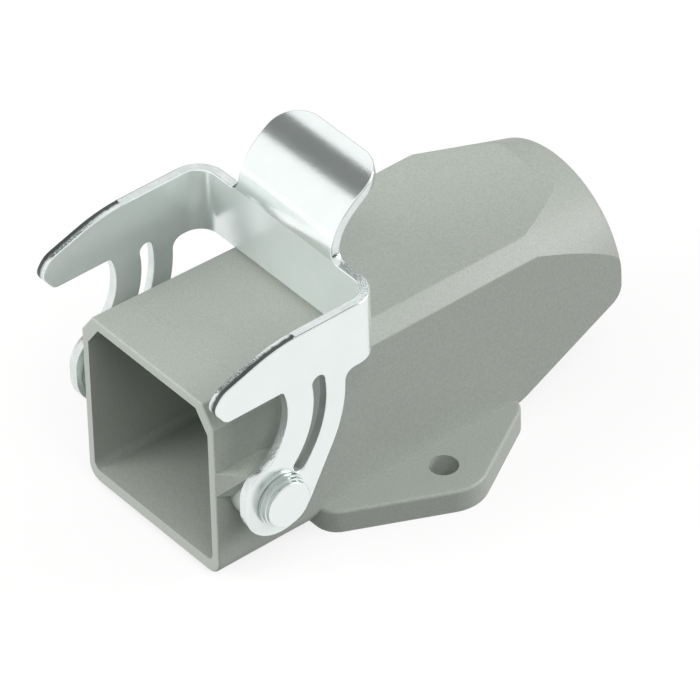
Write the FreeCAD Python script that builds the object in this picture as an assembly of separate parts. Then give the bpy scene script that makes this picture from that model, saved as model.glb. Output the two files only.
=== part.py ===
import FreeCAD, Part
import math
import os

# Frame: +Z is up, the plug axis runs along +Y and the mating mouth faces -Y.
# The origin is midway between the two flange holes, on the flange's underside.

# Mating tube
tube_width = 23.4
tube_base_z = 0.9
tube_front_height = 24.0
tube_rear_height = 23.2
front_y = -29.6
rear_y = 29.3
roof_fall_run = 22.6
corner_chamfer = 1.94
belly_edge_radius = 2.0
roof_edge_round = 0.35
mouth_edge_round = 0.25

# Tapered rear end
taper_axis_z = 11.65
taper_ref_y = 21.6
taper_ref_radius = 14.38
taper_slope = 0.278
heel_start_y = 11.5
heel_angle = 27.2
end_round = 0.9
heel_end_round = 2.5

# Cavity
side_wall = 1.1
roof_wall = 1.25
floor_wall = 1.75
rear_wall = 1.8
cavity_corner = 1.0
outlet_front_y = -10.5
outlet_rear_y = 10.5
outlet_half_width = 9.5
outlet_corner = 2.5

# Flange
flange_thickness = 3.0
flange_front_depth = 15.25
flange_rear_depth = 13.8
flange_front_corner_x = 12.95
flange_rear_corner_x = 12.8
flange_point_x = 20.6
flange_point_y = 0.6
hole_spacing = 30.0
hole_radius = 1.75
tip_radius = 5.0
flange_corner_radius = 3.0
flange_edge_round = 0.4

# Side bosses that carry the lever
pivot_inset = 5.8
pivot_z = 12.1
boss_radius = 4.0
boss_thrust_gap = 0.05
ramp_low_z = 12.8
ramp_run = 2.6

# Lever
lever_half_width = 15.8
sheet = 1.25
bend_radius = 3.7
bridge_reach = 15.1
bridge_gap = 0.05
bridge_depth = 8.45
eye_radius = 4.85
shoulder_shift_y = -1.2
shoulder_shift_z = 1.6
shoulder_radius = 3.65
eye_overhang = 1.96
arm_centre_angle = 120.2
arm_front_radius = 8.1
arm_front_end = -50.0
arm_top_overlap = 3.9
arm_rear_radius = 16.2
slot_rear_web = 2.72
slot_width = 1.75
slot_top_angle = 8.5
slot_low_angle = -41.0
crook_radius = 1.3
hook_depth = 6.75
hook_reach = 3.0
hook_slope_run = 9.0
hook_nose_low = 1.7
hook_nose_high = 2.4
hook_nose_back = 1.3
hook_nose_top = 4.2
brow_round = 20.0
crown_round = 2.6
nose_round = 1.3
notch_round = 0.65

# Thumb tab
tab_half_width = 8.15
tab_rise = 0.2
tab_bend_radius = 6.0
tab_lean = 43.5
tab_curl_radius = 10.5
tab_curl = 37.0
tab_corner = 4.2
neck_round = 1.3

# Pivot rivets
shank_radius = 2.0
shank_clearance = 0.05
shank_depth = 2.9
head_gap = 0.05
head_radii = (3.3, 3.1, 2.9)
head_step = 0.5
head_edge = 0.2

# Working values
tol = 0.001
pick = 0.05
far_margin = 5.0

half_width = tube_width / 2
roof_front_z = tube_base_z + tube_front_height
roof_rear_z = tube_base_z + tube_rear_height
shoulder_z = roof_rear_z - corner_chamfer
crown_half = half_width - corner_chamfer
top_level_y = front_y + roof_fall_run
boss_face_x = lever_half_width - sheet - boss_thrust_gap
hole_x = hole_spacing / 2
pivot_y = front_y + pivot_inset
bridge_rear_y = pivot_y + bridge_reach
bridge_low_z = roof_front_z + bridge_gap
lever_top_z = bridge_low_z + bridge_depth
hook_low_z = lever_top_z - hook_depth
hook_tip_y = front_y - hook_reach
hook_slope_y = hook_tip_y + hook_slope_run
arm_offset = arm_rear_radius + eye_overhang - eye_radius
arm_y = pivot_y + arm_offset * math.cos(math.radians(arm_centre_angle))
arm_z = pivot_z + arm_offset * math.sin(math.radians(arm_centre_angle))
slot_radius = arm_rear_radius - slot_rear_web - slot_width / 2
tab_bend_z = lever_top_z + tab_rise


def vec(x, y, z):
    return FreeCAD.Vector(x, y, z)


def save(shape, name):
    shape.exportStep("parts/" + name + ".step")


def block(x0, x1, y0, y1, z0, z1):
    return Part.makeBox(x1 - x0, y1 - y0, z1 - z0, vec(x0, y0, z0))


def side_prism(points, x0, x1):
    """Extrude a (y, z) outline from x0 to x1."""
    corners = [vec(x0, y, z) for y, z in points]
    face = Part.Face(Part.makePolygon(corners + corners[:1]))
    return face.extrude(vec(x1 - x0, 0, 0))


def side_disc(y, z, radius, x0, x1):
    return Part.makeCylinder(radius, x1 - x0, vec(x0, y, z), vec(1, 0, 0))


def section(y, roof_z, side, roof, floor):
    """Tube outline across the plug axis, moved inwards by the three walls."""
    low = tube_base_z + floor
    corner = shoulder_z - roof
    wide = half_width - side
    crown = crown_half - side
    points = [
        vec(-wide, y, low),
        vec(wide, y, low),
        vec(wide, y, corner),
        vec(crown, y, roof_z - roof),
        vec(-crown, y, roof_z - roof),
        vec(-wide, y, corner),
    ]
    return Part.makePolygon(points + points[:1])


def prism(side, roof, floor, y0, y1):
    """Front part with the falling roof, then the level part behind it."""
    first = section(y0, roof_front_z, side, roof, floor)
    middle = section(top_level_y, roof_rear_z, side, roof, floor)
    last = section(y1, roof_rear_z, side, roof, floor)
    front = Part.makeLoft([first, middle], True, True)
    rear = Part.makeLoft([middle, last], True, True)
    return front.fuse(rear).removeSplitter()


def heel_z(y):
    return tube_base_z + (y - heel_start_y) * math.tan(math.radians(heel_angle))


def tapered_end(solid, offset):
    """Turn the rear of a prism down to a cone on the plug axis, with its end rounded."""
    reach = rear_y - offset
    length = reach - front_y + far_margin
    small = taper_ref_radius - (reach - taper_ref_y) * taper_slope - offset
    large = small + length * taper_slope
    cone = Part.makeCone(large, small, length, vec(0, reach - length, taper_axis_z), vec(0, 1, 0))
    rim = [e for e in cone.Edges if all(abs(v.Y - reach) < tol for v in e.Vertexes)]
    return solid.common(cone.makeFillet(end_round, rim))


def above_heel(lift):
    """Everything over the sloping heel, raised by a wall thickness and rounded at the end."""
    rise = lift / math.cos(math.radians(heel_angle))
    reach = rear_y - lift
    low = heel_z(reach) + rise
    high = roof_front_z + far_margin
    points = [
        (front_y, heel_z(front_y) + rise),
        (reach, low),
        (reach, high),
        (front_y, high),
    ]
    solid = side_prism(points, -tube_width, tube_width)
    return rounded(solid, reach, low, heel_end_round)


def upright_edges(solid):
    return [e for e in solid.Edges if abs(e.Vertexes[0].Z - e.Vertexes[-1].Z) > tol
            and math.hypot(e.Vertexes[0].X - e.Vertexes[-1].X, e.Vertexes[0].Y - e.Vertexes[-1].Y) < tol]


def long_edges(solid, x, z, y_low, y_high):
    """Edges along Y at one x and z, on both sides, between two y values."""
    found = []
    for edge in solid.Edges:
        ends = edge.Vertexes
        inside = all(
            abs(abs(v.X) - x) < tol and abs(v.Z - z) < tol and y_low - tol < v.Y < y_high + tol
            for v in ends
        )
        if inside and len(ends) == 2 and abs(ends[0].Y - ends[1].Y) > tol:
            found.append(edge)
    return found


def roof_edges(solid):
    """The long edges of both corner chamfers, from the mouth to the taper."""
    found = []
    for edge in solid.Edges:
        ends = edge.Vertexes
        lengthwise = len(ends) == 2 and abs(ends[0].X - ends[1].X) < tol and abs(ends[0].Y - ends[1].Y) > tol
        on_side = abs(abs(ends[0].X) - half_width) < tol and all(abs(v.Z - shoulder_z) < tol for v in ends)
        on_top = abs(abs(ends[0].X) - crown_half) < tol
        if lengthwise and (on_side or on_top):
            found.append(edge)
    return found


def tube():
    solid = tapered_end(prism(0, 0, 0, front_y, rear_y), 0)
    solid = solid.common(above_heel(0))
    belly = long_edges(solid, half_width, tube_base_z, front_y, heel_start_y)
    solid = solid.makeFillet(belly_edge_radius, belly)
    solid = solid.makeFillet(roof_edge_round, roof_edges(solid))
    mouth = [e for e in solid.Edges if all(abs(v.Y - front_y) < tol for v in e.Vertexes)]
    return solid.makeFillet(mouth_edge_round, mouth)


def cavity():
    """Insert space from the mouth to the closed rear end."""
    solid = prism(side_wall, roof_wall, floor_wall, front_y, rear_y - rear_wall)
    solid = tapered_end(solid, rear_wall)
    solid = solid.common(above_heel(rear_wall))
    low = tube_base_z + floor_wall
    edges = long_edges(solid, half_width - side_wall, low, front_y, heel_start_y)
    return solid.makeFillet(cavity_corner, edges)


def outlet():
    """Cable opening through the flange."""
    top = tube_base_z + floor_wall + cavity_corner
    box = block(-outlet_half_width, outlet_half_width, outlet_front_y, outlet_rear_y, -far_margin, top)
    return box.makeFillet(outlet_corner, upright_edges(box))


def flange():
    points = [
        vec(-flange_front_corner_x, -flange_front_depth, 0),
        vec(flange_front_corner_x, -flange_front_depth, 0),
        vec(flange_point_x, flange_point_y, 0),
        vec(flange_rear_corner_x, flange_rear_depth, 0),
        vec(-flange_rear_corner_x, flange_rear_depth, 0),
        vec(-flange_point_x, flange_point_y, 0),
    ]
    plate = Part.Face(Part.makePolygon(points + points[:1])).extrude(vec(0, 0, flange_thickness))
    tips = [e for e in upright_edges(plate) if abs(e.Vertexes[0].Y - flange_point_y) < tol]
    plate = plate.makeFillet(tip_radius, tips)
    corners = []
    for edge in upright_edges(plate):
        y = edge.Vertexes[0].Y
        if abs(y + flange_front_depth) < tol or abs(y - flange_rear_depth) < tol:
            corners.append(edge)
    plate = plate.makeFillet(flange_corner_radius, corners)
    rim = [e for e in plate.Edges if all(abs(v.Z - flange_thickness) < tol for v in e.Vertexes)]
    return plate.makeFillet(flange_edge_round, rim)


def flange_holes():
    height = flange_thickness + far_margin
    right = Part.makeCylinder(hole_radius, height, vec(hole_x, 0, -far_margin / 2))
    return both_sides(right)


def ramp():
    """Flat-topped ramp that leads from the mouth's edge up to a boss."""
    top_z = pivot_z + boss_radius
    inner = half_width
    outer = boss_face_x
    crest_y = front_y + ramp_run
    a = vec(inner, front_y, top_z)
    b = vec(inner, front_y, ramp_low_z)
    d = vec(outer, crest_y, top_z)
    e = vec(outer, pivot_y, top_z)
    f = vec(inner, pivot_y, top_z)
    g = vec(inner, pivot_y, pivot_z)
    h = vec(outer, pivot_y, pivot_z)
    outlines = [[a, d, e, f], [a, b, d], [b, h, d], [b, g, h], [d, h, e], [f, e, h, g], [a, f, g, b]]
    faces = [Part.Face(Part.makePolygon(o + o[:1])) for o in outlines]
    return Part.Solid(Part.Shell(faces))


def boss():
    root = half_width - side_wall / 2
    pad = side_disc(pivot_y, pivot_z, boss_radius, root, boss_face_x)
    return pad.fuse(ramp())


def both_sides(solid):
    return solid.fuse(solid.mirror(vec(0, 0, 0), vec(1, 0, 0)))


def housing():
    body = tube().fuse(flange()).removeSplitter()
    body = body.fuse(both_sides(boss())).removeSplitter()
    body = body.cut(cavity())
    body = body.cut(outlet())
    body = body.cut(flange_holes())
    seat = side_disc(pivot_y, pivot_z, shank_radius, boss_face_x - shank_depth, boss_face_x)
    return body.cut(both_sides(seat)).removeSplitter()


def around(centre, radius, degrees):
    """Point (y, z) at a radius and angle about a centre."""
    angle = math.radians(degrees)
    return (centre[0] + radius * math.cos(angle), centre[1] + radius * math.sin(angle))


def from_arm(radius, degrees):
    return around((arm_y, arm_z), radius, degrees)


def ring_sector(centre, inner, outer, low, high, x0, x1):
    """Curved band about a centre between two angles."""
    ring = side_disc(*centre, outer, x0, x1).cut(side_disc(*centre, inner, x0, x1))
    spokes = [around(centre, outer * 2, degrees) for degrees in (low, (low + high) / 2, high)]
    return ring.common(side_prism([centre] + spokes, x0, x1))


def lever_slot(x0, x1):
    inner = slot_radius - slot_width / 2
    outer = slot_radius + slot_width / 2
    slot = ring_sector((arm_y, arm_z), inner, outer, slot_low_angle, slot_top_angle, x0, x1)
    for angle in (slot_low_angle, slot_top_angle):
        y, z = from_arm(slot_radius, angle)
        slot = slot.fuse(side_disc(y, z, slot_width / 2, x0, x1))
    return slot


def rounded(solid, y, z, radius):
    """Round the edges that run along X through one point of the outline."""
    edges = []
    for edge in solid.Edges:
        ends = edge.Vertexes
        if len(ends) == 2 and abs(ends[0].X - ends[1].X) > sheet / 2:
            if all(abs(v.Y - y) < pick and abs(v.Z - z) < pick for v in ends):
                edges.append(edge)
    return solid.makeFillet(radius, edges)


def lever_outline():
    """Side view of the lever as one solid across the whole width."""
    x0 = -lever_half_width - far_margin
    x1 = lever_half_width + far_margin
    shoulder_y = pivot_y + shoulder_shift_y
    shoulder_z0 = pivot_z + shoulder_shift_z
    toward = arm_centre_angle - 180
    tangent = toward + math.degrees(math.acos((arm_rear_radius - eye_radius) / arm_offset))
    normal = (math.cos(math.radians(tangent)), math.sin(math.radians(tangent)))
    eye_touch = (pivot_y + eye_radius * normal[0], pivot_z + eye_radius * normal[1])
    front_end = from_arm(arm_front_radius, arm_front_end)
    web = [from_arm(arm_rear_radius, tangent), eye_touch, (pivot_y, pivot_z),
           (shoulder_y, shoulder_z0), front_end]
    cheek = [(pivot_y - eye_radius, pivot_z), (shoulder_y - shoulder_radius, shoulder_z0),
             (shoulder_y, shoulder_z0), (pivot_y, pivot_z)]
    blade = [
        (arm_y + arm_rear_radius, lever_top_z),
        (hook_slope_y, lever_top_z),
        (hook_tip_y + hook_nose_back, hook_low_z + hook_nose_top),
        (hook_tip_y, hook_low_z + hook_nose_high),
        (hook_tip_y + hook_nose_low, hook_low_z),
        (arm_y + arm_rear_radius, hook_low_z),
    ]
    solid = side_prism(blade, x0, x1)
    solid = rounded(solid, hook_slope_y, lever_top_z, brow_round)
    for (y, z), radius in zip(blade[2:5], (crown_round, nose_round, nose_round)):
        solid = rounded(solid, y, z, radius)
    band_y = arm_y + arm_front_radius + sheet
    band = block(x0, x1, band_y, bridge_rear_y + far_margin, bridge_low_z, lever_top_z)
    arm_top = math.degrees(math.asin((hook_low_z - arm_z) / arm_front_radius)) + arm_top_overlap
    arm = ring_sector((arm_y, arm_z), arm_front_radius, arm_rear_radius, arm_front_end, arm_top, x0, x1)
    solid = solid.fuse([
        band,
        arm,
        side_prism(web, x0, x1),
        side_prism(cheek, x0, x1),
        side_disc(pivot_y, pivot_z, eye_radius, x0, x1),
        side_disc(shoulder_y, shoulder_z0, shoulder_radius, x0, x1),
    ]).removeSplitter()
    crook_y = arm_y + math.sqrt(arm_rear_radius ** 2 - (bridge_low_z - arm_z) ** 2)
    notch_y = arm_y + math.sqrt(arm_front_radius ** 2 - (hook_low_z - arm_z) ** 2)
    solid = rounded(solid, crook_y, bridge_low_z, crook_radius)
    solid = rounded(solid, notch_y, hook_low_z, notch_round)
    solid = solid.cut(lever_slot(x0, x1))
    return solid.cut(side_disc(pivot_y, pivot_z, shank_radius + shank_clearance, x0, x1))


def bent_strip():
    """Sheet bent to a U in plan, before its outline is cut."""
    front = hook_tip_y - far_margin
    shells = []
    for inset in (0, sheet):
        wide = lever_half_width - inset
        back = bridge_rear_y - inset
        solid = block(-wide, wide, front - inset, back, 0, lever_top_z)
        edges = [e for e in upright_edges(solid) if abs(e.Vertexes[0].Y - back) < tol]
        shells.append(solid.makeFillet(bend_radius - inset, edges))
    return shells[0].cut(shells[1])


def tab_front_view():
    """Tab outline seen from the front, with curved roots where it leaves the bridge."""
    reach = tab_bend_radius * 3
    y0 = bridge_rear_y - reach
    y1 = bridge_rear_y + reach
    wide = tab_half_width + neck_round * 2
    root = block(-wide, wide, y0, y1, lever_top_z - sheet, lever_top_z)
    stem = block(-tab_half_width, tab_half_width, y0, y1, lever_top_z - sheet, lever_top_z + reach)
    view = root.fuse(stem).removeSplitter()
    return view.makeFillet(neck_round, long_edges(view, tab_half_width, lever_top_z, y0, y1))


def thumb_tab():
    """Tab that rises from the bridge and curls rearwards in two bends."""
    wide = tab_half_width + neck_round * 2
    upright = block(-wide, wide, bridge_rear_y - sheet, bridge_rear_y, lever_top_z - sheet, tab_bend_z)
    root = (bridge_rear_y + tab_bend_radius, tab_bend_z)
    turned = 180 - tab_lean
    bend = ring_sector(root, tab_bend_radius, tab_bend_radius + sheet, turned, 180, -wide, wide)
    crown = around(root, tab_bend_radius - tab_curl_radius, turned)
    tip = turned - tab_curl
    curl = ring_sector(crown, tab_curl_radius, tab_curl_radius + sheet, tip, turned, -wide, wide)
    strip = upright.fuse([bend, curl]).removeSplitter()
    tab = strip.common(tab_front_view())
    ends = [around(crown, tab_curl_radius, tip), around(crown, tab_curl_radius + sheet, tip)]
    corners = []
    for edge in tab.Edges:
        spots = [(v.Y, v.Z) for v in edge.Vertexes]
        across = abs(edge.Vertexes[0].X - edge.Vertexes[-1].X) < tol
        at_tip = all(min(math.hypot(y - p[0], z - p[1]) for p in ends) < tol for y, z in spots)
        if across and at_tip:
            corners.append(edge)
    return tab.makeFillet(tab_corner, corners)


def lever():
    sheet_metal = bent_strip().common(lever_outline())
    return sheet_metal.fuse(thumb_tab()).removeSplitter()


def rivet(side):
    """Shank pressed into the boss, with a stepped round head outside."""
    seat_x = boss_face_x - shank_depth
    head_x = lever_half_width + head_gap
    solid = side_disc(pivot_y, pivot_z, shank_radius, seat_x, head_x + head_step)
    for step, radius in enumerate(head_radii):
        x0 = head_x + step * head_step
        solid = solid.fuse(side_disc(pivot_y, pivot_z, radius, x0, x0 + head_step))
    solid = solid.removeSplitter()
    face_x = head_x + len(head_radii) * head_step
    rim = [e for e in solid.Edges if all(abs(v.X - face_x) < tol for v in e.Vertexes)]
    solid = solid.makeFillet(head_edge, rim)
    if side < 0:
        solid = solid.mirror(vec(0, 0, 0), vec(1, 0, 0))
    return solid


os.makedirs("parts", exist_ok=True)
save(housing(), "housing_body")
save(lever(), "locking_lever")
save(rivet(1), "pivot_rivet_right")
save(rivet(-1), "pivot_rivet_left")
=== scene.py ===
import math
import bmesh
import bpy
from mathutils import Matrix, Vector


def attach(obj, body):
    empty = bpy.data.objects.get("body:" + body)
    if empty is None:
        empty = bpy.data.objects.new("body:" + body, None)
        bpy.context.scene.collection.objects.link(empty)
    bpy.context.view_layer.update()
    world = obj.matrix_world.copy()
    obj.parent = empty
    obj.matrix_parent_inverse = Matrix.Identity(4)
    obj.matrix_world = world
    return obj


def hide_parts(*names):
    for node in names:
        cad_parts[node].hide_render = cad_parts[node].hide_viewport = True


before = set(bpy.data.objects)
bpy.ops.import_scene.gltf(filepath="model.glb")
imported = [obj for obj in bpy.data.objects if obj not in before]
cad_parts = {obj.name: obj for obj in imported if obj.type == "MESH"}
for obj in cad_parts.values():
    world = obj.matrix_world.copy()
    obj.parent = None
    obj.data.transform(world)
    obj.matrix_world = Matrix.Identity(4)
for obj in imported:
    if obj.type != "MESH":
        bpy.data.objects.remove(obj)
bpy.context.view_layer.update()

mm = 0.001
target = Vector((0.0, -2 * mm, 14 * mm))  # the middle of the object, which the lights face


def direction(azimuth, elevation):  # 0 is the mouth's side, 90 is the right side
    a, e = math.radians(azimuth), math.radians(elevation)
    return Vector((math.sin(a) * math.cos(e), -math.cos(a) * math.cos(e), math.sin(e)))


def link(item):
    bpy.context.scene.collection.objects.link(item)
    return item


# camera
cameraSet = {
    "azimuth": 51.386, "elevation": 40.284, "roll": -1.375,
    "distance": 776.457 * mm,
    "sensor": 36.0, "focalPixels": 6830.493, "imagePixels": 700,
    "shiftPixels": (8.989, 69.98),  # how far the photo's centre lies off the lens axis
    "nearest": 0.01, "farthest": 20.0,
}


def makeCamera(s):
    data = bpy.data.cameras.new("camera")
    data.sensor_width = s["sensor"]
    data.lens = s["focalPixels"] / s["imagePixels"] * s["sensor"]
    data.shift_x = -s["shiftPixels"][0] / s["imagePixels"]
    data.shift_y = s["shiftPixels"][1] / s["imagePixels"]
    data.clip_start, data.clip_end = s["nearest"], s["farthest"]
    camera = link(bpy.data.objects.new("camera", data))
    back = direction(s["azimuth"], s["elevation"])
    right = Vector((0, 0, 1)).cross(back).normalized()
    up = back.cross(right)
    turn = math.radians(s["roll"])
    rightRolled = math.cos(turn) * right + math.sin(turn) * up
    upRolled = math.cos(turn) * up - math.sin(turn) * right
    place = Matrix((rightRolled, upRolled, back)).transposed().to_4x4()
    place.translation = back * s["distance"]
    camera.matrix_world = place
    bpy.context.scene.camera = camera


makeCamera(cameraSet)
bpy.context.scene.view_settings.view_transform = "Standard"
print("camera made")


# materials
def linear(hexColour):
    channels = [int(hexColour[i:i + 2], 16) / 255 for i in (1, 3, 5)]
    return [c / 12.92 if c <= 0.04045 else ((c + 0.055) / 1.055) ** 2.4 for c in channels] + [1.0]


def addNode(tree, kind, settings=None, links=None):
    node = tree.nodes.new(kind)
    for name, value in (settings or {}).items():
        if isinstance(name, int) or name in node.inputs:
            node.inputs[name].default_value = value
        else:
            setattr(node, name, value)
    for name, source in (links or {}).items():
        tree.links.new(source[0].outputs[source[1]], node.inputs[name])
    return node


def newMaterial(name):
    material = bpy.data.materials.new(name)
    material.use_nodes = True
    material.node_tree.nodes.clear()
    return material, material.node_tree


def noise(tree, place, sizeMm, detail):  # an even grain with cells of this size
    return addNode(tree, "ShaderNodeTexNoise", {"Scale": 1 / (sizeMm * mm), "Detail": detail},
                   {"Vector": (place, "Object")})


# Powder-coated die casting: a matt skin with a fine sandy grain and soft cloudy tone
coatSet = {
    "light": "#AAB0A9", "dark": "#9CA29B", "cloud": "#A2A8A0",
    "grainMm": 0.2, "grainDetail": 2.0, "grainHeightMm": 0.012, "grainSpread": (0.38, 0.62),
    "pimpleMm": 0.5, "pimpleDetail": 1.0, "pimpleHeightMm": 0.012,
    "cloudMm": 3.0, "cloudDetail": 3.0, "cloudShare": 0.5,
    "roughness": 0.5, "coatRoughness": 0.35, "coat": 0.1,
}


def powderCoat(s):
    material, tree = newMaterial("powderCoatedDieCasting")
    place = addNode(tree, "ShaderNodeTexCoord")
    grain = noise(tree, place, s["grainMm"], s["grainDetail"])
    pimple = noise(tree, place, s["pimpleMm"], s["pimpleDetail"])
    cloud = noise(tree, place, s["cloudMm"], s["cloudDetail"])
    low, high = s["grainSpread"]
    spread = addNode(tree, "ShaderNodeMapRange", {"From Min": low, "From Max": high},
                     {"Value": (grain, "Fac")})
    speckled = addNode(tree, "ShaderNodeMix",
                       {"data_type": "RGBA", 6: linear(s["dark"]), 7: linear(s["light"])},
                       {0: (spread, "Result")})
    softer = addNode(tree, "ShaderNodeMath", {"operation": "MULTIPLY", 1: s["cloudShare"]},
                     {0: (cloud, "Fac")})
    toned = addNode(tree, "ShaderNodeMix", {"data_type": "RGBA", 7: linear(s["cloud"])},
                    {0: (softer, "Value"), 6: (speckled, 2)})
    wide = addNode(tree, "ShaderNodeBump", {"Distance": s["pimpleHeightMm"] * mm},
                   {"Height": (pimple, "Fac")})
    fine = addNode(tree, "ShaderNodeBump", {"Distance": s["grainHeightMm"] * mm},
                   {"Height": (grain, "Fac"), "Normal": (wide, "Normal")})
    shader = addNode(tree, "ShaderNodeBsdfPrincipled",
                     {"Roughness": s["roughness"], "Coat Weight": s["coat"],
                      "Coat Roughness": s["coatRoughness"]},
                     {"Base Color": (toned, 2), "Normal": (fine, "Normal")})
    addNode(tree, "ShaderNodeOutputMaterial", links={"Surface": (shader, "BSDF")})
    return material


# Bright zinc plate on cold-rolled sheet: a satin mirror with a fine crystalline grain
zincSet = {
    "light": "#F4F9F8", "dark": "#EBF3F1",
    "grainMm": 0.2, "grainDetail": 2.0, "grainHeightMm": 0.006,
    "cloudMm": 2.5, "cloudDetail": 2.0,
    "roughness": 0.22, "roughSpread": (0.75, 1.25), "metallic": 0.7,
}
# The same plate on the thumb tab, rubbed by fingers: a clearer and deeper mirror
rubbedSet = dict(zincSet, metallic=0.85, roughness=0.16)
# Turned rivet head, zinc plated: smoother than the sheet. The walls of the steps round its rim get a darker
# colour, which is painted shade in the grooves between the steps
rivetSet = dict(zincSet, grainMm=0.12, grainHeightMm=0.002)
stepShadeSet = dict(rivetSet, light="#C4CCCA", dark="#9AA4A1", roughness=0.2, metallic=1.0)
# Sheared edge of the same sheet: burnished along the cut, with a coarser grain than the faces
shearedSet = dict(zincSet, light="#EEF4F3", dark="#C4CCCA", grainMm=0.24, grainHeightMm=0.035,
                  roughness=0.16, metallic=0.9)
# Thick side of the cut along the hooks: bright on the inner side, torn and dull next to the outer face
tornSet = dict(shearedSet, torn="#59625E", tornFromMm=14.95, tornToMm=15.25, tornGrainMm=0.5,
               tornDetail=3.0, tornWanderMm=0.5, tornRoughness=0.45)


def zincPlate(name, s):
    material, tree = newMaterial(name)
    place = addNode(tree, "ShaderNodeTexCoord")
    grain = noise(tree, place, s["grainMm"], s["grainDetail"])
    cloud = noise(tree, place, s["cloudMm"], s["cloudDetail"])
    toned = addNode(tree, "ShaderNodeMix", {"data_type": "RGBA", 6: linear(s["dark"]), 7: linear(s["light"])},
                    {0: (cloud, "Fac")})
    smoothest, roughest = s["roughSpread"]
    rough = addNode(tree, "ShaderNodeMapRange",
                    {"To Min": s["roughness"] * smoothest, "To Max": s["roughness"] * roughest},
                    {"Value": (grain, "Fac")})
    bump = addNode(tree, "ShaderNodeBump", {"Distance": s["grainHeightMm"] * mm}, {"Height": (grain, "Fac")})
    shader = addNode(tree, "ShaderNodeBsdfPrincipled", {"Metallic": s["metallic"]},
                     {"Base Color": (toned, 2), "Roughness": (rough, "Result"), "Normal": (bump, "Normal")})
    addNode(tree, "ShaderNodeOutputMaterial", links={"Surface": (shader, "BSDF")})
    return material


def tearEdge(material, s):  # adds the torn band, which wanders a little along the cut
    tree = material.node_tree
    shader = next(node for node in tree.nodes if node.type == "BSDF_PRINCIPLED")
    place = next(node for node in tree.nodes if node.type == "TEX_COORD")
    axes = addNode(tree, "ShaderNodeSeparateXYZ", links={0: (place, "Object")})
    wander = noise(tree, place, s["tornGrainMm"], s["tornDetail"])
    outwards = addNode(tree, "ShaderNodeMath", {"operation": "ABSOLUTE"}, {0: (axes, "X")})
    shifted = addNode(tree, "ShaderNodeMath", {"operation": "MULTIPLY_ADD", 1: s["tornWanderMm"] * mm},
                      {0: (wander, "Fac"), 2: (outwards, "Value")})
    half = s["tornWanderMm"] / 2
    torn = addNode(tree, "ShaderNodeMapRange",
                   {"From Min": (s["tornFromMm"] + half) * mm, "From Max": (s["tornToMm"] + half) * mm},
                   {"Value": (shifted, "Value")})
    for socket, value in (("Base Color", linear(s["torn"])), ("Roughness", s["tornRoughness"])):
        clean = shader.inputs[socket].links[0].from_socket
        # the Mix node's kind, its two inputs and its output for a colour or for a number
        kind, first, second, out = ("RGBA", 6, 7, 2) if socket == "Base Color" else ("FLOAT", 2, 3, 0)
        mixed = addNode(tree, "ShaderNodeMix", {"data_type": kind, second: value}, {0: (torn, "Result")})
        tree.links.new(clean, mixed.inputs[first])
        tree.links.new(mixed.outputs[out], shader.inputs[socket])


coat = powderCoat(coatSet)
zinc = zincPlate("zincPlatedSheet", zincSet)
rubbed = zincPlate("rubbedZincPlatedSheet", rubbedSet)
sheared = zincPlate("shearedZincPlatedEdge", shearedSet)
torn = zincPlate("tornZincPlatedEdge", tornSet)
tearEdge(torn, tornSet)
rivetZinc = zincPlate("zincPlatedRivet", rivetSet)
# the darker rim material paints shade onto the walls of the rivet's steps
rivetStepShade = zincPlate("rivetStepsPaintedShade", stepShadeSet)
print("materials made")


# pieces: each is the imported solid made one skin, and the metal ones have their hard edges eased
def easeEdges(shape, s):
    bmesh.ops.dissolve_limit(shape, angle_limit=math.radians(s["flatAngle"]),
                             verts=shape.verts, edges=shape.edges)
    hard = [e for e in shape.edges if len(e.link_faces) == 2
            and e.calc_face_angle() > math.radians(s["hardAngle"])]
    bmesh.ops.bevel(shape, geom=hard, offset=s["edgeMm"] * mm, affect="EDGES", segments=s["segments"],
                    profile=0.5, material=-1, clamp_overlap=False)
    bmesh.ops.remove_doubles(shape, verts=shape.verts, dist=s["weldMm"] * mm)


def isPlane(face, s):  # part of a large plane, but not of a corner chamfer, which runs softly into the taper
    low, high = s["chamferFacing"]
    return face.calc_area() > s["planeMm2"] * mm ** 2 and not low < abs(face.normal.x) < high


def creaseEdges(shape, s):  # a plane keeps a crisp border, and curved faces stay soft among themselves
    for edge in shape.edges:
        turn = edge.calc_face_angle(0)
        bends = turn > math.radians(s["flatAngle"])
        atPlane = "planeMm2" in s and bends and any(isPlane(face, s) for face in edge.link_faces)
        edge.smooth = not atPlane and turn < math.radians(s["smoothAngle"])
    for face in shape.faces:
        face.smooth = True


def skin(node, name, s):
    shape = bmesh.new()
    shape.from_mesh(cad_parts[node].data)
    bmesh.ops.remove_doubles(shape, verts=shape.verts, dist=s["weldMm"] * mm)
    if "edgeMm" in s:
        easeEdges(shape, s)
    shape.normal_update()
    creaseEdges(shape, s)
    mesh = bpy.data.meshes.new(name)
    shape.to_mesh(mesh)
    shape.free()
    piece = link(bpy.data.objects.new(name, mesh))
    if "edgeMm" in s:
        piece.modifiers.new("flatFaces", "WEIGHTED_NORMAL").keep_sharp = True
    return piece


def paint(piece, finishAndShadeList, finishOrShadeOf, s):  # each face gets the finish, or on the rivet's steps the painted shade, that the given function names
    for finish in finishAndShadeList:
        piece.data.materials.append(finish)
    for face in piece.data.polygons:
        face.material_index = finishAndShadeList.index(finishOrShadeOf(face, s))


def settle(piece, node, body):
    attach(piece, body)
    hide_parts(node)


castingSet = {
    "weldMm": 0.002, "flatAngle": 0.5, "smoothAngle": 25,
    "planeMm2": 8, "chamferFacing": (0.6, 0.8),
}


def makeHousing(s):
    piece = skin("housing_body", "housingCasting", s)
    piece.data.materials.append(coat)
    settle(piece, "housing_body", "base")


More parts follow.
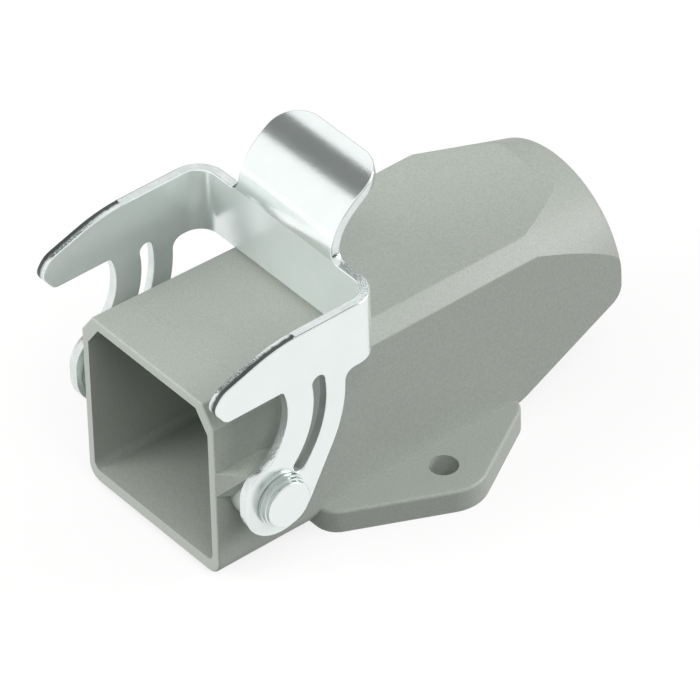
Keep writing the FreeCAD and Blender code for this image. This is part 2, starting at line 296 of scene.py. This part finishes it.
stampingSet = {
    "weldMm": 0.002, "flatAngle": 0.5, "hardAngle": 40, "edgeMm": 0.16, "segments": 3, "smoothAngle": 35,
    "armInnerMm": 14.5, "bridgeTopMm": 33.42, "hookLowMm": 26.7, "bendFrontMm": -12.4,
    "armEdgeFacing": 0.3, "bridgeEdgeFacing": 0.9, "tabEdgeFacing": 0.3,
}


def isShearedFace(face, s):  # arm edges face along the plate, the bridge's up or down, the tab's sideways
    spot, normal = face.center / mm, face.normal
    if abs(spot.x) > s["armInnerMm"]:
        return abs(normal.x) < s["armEdgeFacing"]
    if spot.z < s["bridgeTopMm"]:
        return abs(normal.z) > s["bridgeEdgeFacing"]
    return abs(normal.x) > s["tabEdgeFacing"]


def isTornFace(face, s):
    spot = face.center / mm
    return abs(spot.x) > s["armInnerMm"] and spot.z > s["hookLowMm"] and spot.y < s["bendFrontMm"]


def leverFinish(face, s):
    if isShearedFace(face, s):
        return torn if isTornFace(face, s) else sheared
    onTab = face.center.z > s["bridgeTopMm"] * mm and abs(face.center.x) < s["armInnerMm"] * mm
    return rubbed if onTab else zinc


def makeLever(s):
    piece = skin("locking_lever", "leverStamping", s)
    paint(piece, (zinc, sheared, torn, rubbed), leverFinish, s)
    settle(piece, "locking_lever", "lever")


turnedSet = {
    "weldMm": 0.002, "flatAngle": 0.5, "hardAngle": 40, "edgeMm": 0.06, "segments": 2, "smoothAngle": 35,
    "stepShadeFacing": 0.5,
}


# faces turned sideways are the walls of the rivet's steps, and they get the darker material as painted shade
def stepShadeOrRivetFinish(face, s):
    return rivetStepShade if abs(face.normal.x) < s["stepShadeFacing"] else rivetZinc


def makeRivet(side, s):
    node = "pivot_rivet_" + side
    piece = skin(node, "rivet" + side.capitalize(), s)
    paint(piece, (rivetZinc, rivetStepShade), stepShadeOrRivetFinish, s)
    settle(piece, node, "base")


makeHousing(castingSet)
makeLever(stampingSet)
for side in ("right", "left"):
    makeRivet(side, turnedSet)
print("pieces made")


# studio: a white table, four soft lights, and a dark card and skirting that the metal mirrors
stageSet = {
    "floorSize": 6.0, "floorColour": "#F7F7F5", "bounceColour": "#3F3F3E", "shadowShare": 0.2,
    "ambient": 0.45, "ambientColour": "#FFFFFF", "seenColour": "#FFFFFF",
    "lights": [
        {"name": "frontSoftbox", "azimuth": -25, "elevation": 17, "distance": 0.9, "size": 0.6, "power": 8.0,
         "inMetal": False},
        {"name": "rearSoftbox", "azimuth": 148, "elevation": 22, "distance": 0.9, "size": 0.5, "power": 4.6,
         "inMetal": True},
        {"name": "sideSoftbox", "azimuth": 75, "elevation": 50, "distance": 0.9, "size": 0.6, "power": 3.0,
         "inMetal": False},
        {"name": "roofSoftbox", "azimuth": -70, "elevation": 60, "distance": 0.9, "size": 0.6, "power": 0.9,
         "inMetal": False},
    ],
    "skirting": {"radius": 1.2, "height": 0.6, "from": 60, "sweep": 240, "steps": 24, "colour": "#39413F"},
    "card": {"azimuth": -71, "elevation": 50.5, "distance": 0.7, "width": 0.287, "height": 0.4,
             "colour": "#222827"},
}


def seenDirectly(tree):  # 1 where the camera, a mirror or a clear body looks at this, otherwise 0
    path = addNode(tree, "ShaderNodeLightPath")
    first = addNode(tree, "ShaderNodeMath", {"operation": "MAXIMUM"},
                    {0: (path, "Is Camera Ray"), 1: (path, "Is Glossy Ray")})
    return addNode(tree, "ShaderNodeMath", {"operation": "MAXIMUM"},
                   {0: (first, "Value"), 1: (path, "Is Transmission Ray")})


def makeFloor(s):  # seen as white with a share of its real shading, and dim where it lights the object
    shape = bmesh.new()
    bmesh.ops.create_grid(shape, x_segments=1, y_segments=1, size=s["floorSize"] / 2)
    mesh = bpy.data.meshes.new("floor")
    shape.to_mesh(mesh)
    shape.free()
    floor = link(bpy.data.objects.new("floor", mesh))
    material, tree = newMaterial("paleTable")
    seen = seenDirectly(tree)
    share = addNode(tree, "ShaderNodeMath", {"operation": "MULTIPLY", 1: 1 - s["shadowShare"]},
                    {0: (seen, "Value")})
    path = addNode(tree, "ShaderNodeLightPath")
    tone = addNode(tree, "ShaderNodeMix", {"data_type": "RGBA", 6: linear(s["floorColour"]),
                                           7: linear(s["bounceColour"])},
                   {0: (path, "Is Diffuse Ray")})
    matt = addNode(tree, "ShaderNodeBsdfDiffuse", links={"Color": (tone, 2)})
    white = addNode(tree, "ShaderNodeEmission", {"Color": linear(s["seenColour"]), "Strength": 1.0})
    both = addNode(tree, "ShaderNodeMixShader", links={0: (share, "Value"), 1: (matt, "BSDF"),
                                                       2: (white, "Emission")})
    addNode(tree, "ShaderNodeOutputMaterial", links={"Surface": (both, "Shader")})
    mesh.materials.append(material)


def facing(place):
    return (target - place).to_track_quat("-Z", "Y")


def makeLight(s):
    data = bpy.data.lights.new(s["name"], "AREA")
    data.shape, data.size, data.energy = "DISK", s["size"], s["power"]
    light = link(bpy.data.objects.new(s["name"], data))
    light.rotation_mode = "QUATERNION"
    light.location = target + direction(s["azimuth"], s["elevation"]) * s["distance"]
    light.rotation_quaternion = facing(light.location)
    light.visible_glossy = s["inMetal"]


def darkScreen(name, shape, colour):  # a dark sheet that shows only in reflections
    mesh = bpy.data.meshes.new(name)
    shape.to_mesh(mesh)
    shape.free()
    screen = link(bpy.data.objects.new(name, mesh))
    material, tree = newMaterial(name)
    dark = addNode(tree, "ShaderNodeEmission", {"Color": linear(colour), "Strength": 1.0})
    addNode(tree, "ShaderNodeOutputMaterial", links={"Surface": (dark, "Emission")})
    mesh.materials.append(material)
    screen.visible_camera = screen.visible_diffuse = screen.visible_shadow = False


def makeCard(s):
    shape = bmesh.new()
    bmesh.ops.create_grid(shape, x_segments=1, y_segments=1, size=0.5)  # a metre square
    bmesh.ops.scale(shape, verts=shape.verts, vec=(s["width"], s["height"], 1))
    place = target + direction(s["azimuth"], s["elevation"]) * s["distance"]
    bmesh.ops.transform(shape, verts=shape.verts, matrix=facing(place).to_matrix().to_4x4())
    bmesh.ops.translate(shape, verts=shape.verts, vec=place)
    darkScreen("blackCard", shape, s["colour"])


def makeSkirting(s):
    shape = bmesh.new()
    foot = direction(s["from"], 0) * s["radius"]
    ends = [shape.verts.new(foot), shape.verts.new(foot + Vector((0, 0, s["height"])))]
    edge = shape.edges.new(ends)
    bmesh.ops.spin(shape, geom=ends + [edge], cent=(0, 0, 0), axis=(0, 0, 1), angle=math.radians(s["sweep"]),
                   steps=s["steps"])
    darkScreen("darkSkirting", shape, s["colour"])


def makeWorld(s):
    world = bpy.data.worlds.new("studio")
    bpy.context.scene.world = world
    world.use_nodes = True
    tree = world.node_tree
    tree.nodes.clear()
    fill = addNode(tree, "ShaderNodeBackground",
                   {"Color": linear(s["ambientColour"]), "Strength": s["ambient"]})
    seen = addNode(tree, "ShaderNodeBackground", {"Color": linear(s["seenColour"]), "Strength": 1.0})
    both = addNode(tree, "ShaderNodeMixShader",
                   links={0: (seenDirectly(tree), "Value"), 1: (fill, "Background"), 2: (seen, "Background")})
    addNode(tree, "ShaderNodeOutputWorld", links={"Surface": (both, "Shader")})


makeFloor(stageSet)
makeWorld(stageSet)
for lightSet in stageSet["lights"]:
    makeLight(lightSet)
makeCard(stageSet["card"])
makeSkirting(stageSet["skirting"])
print("studio made")
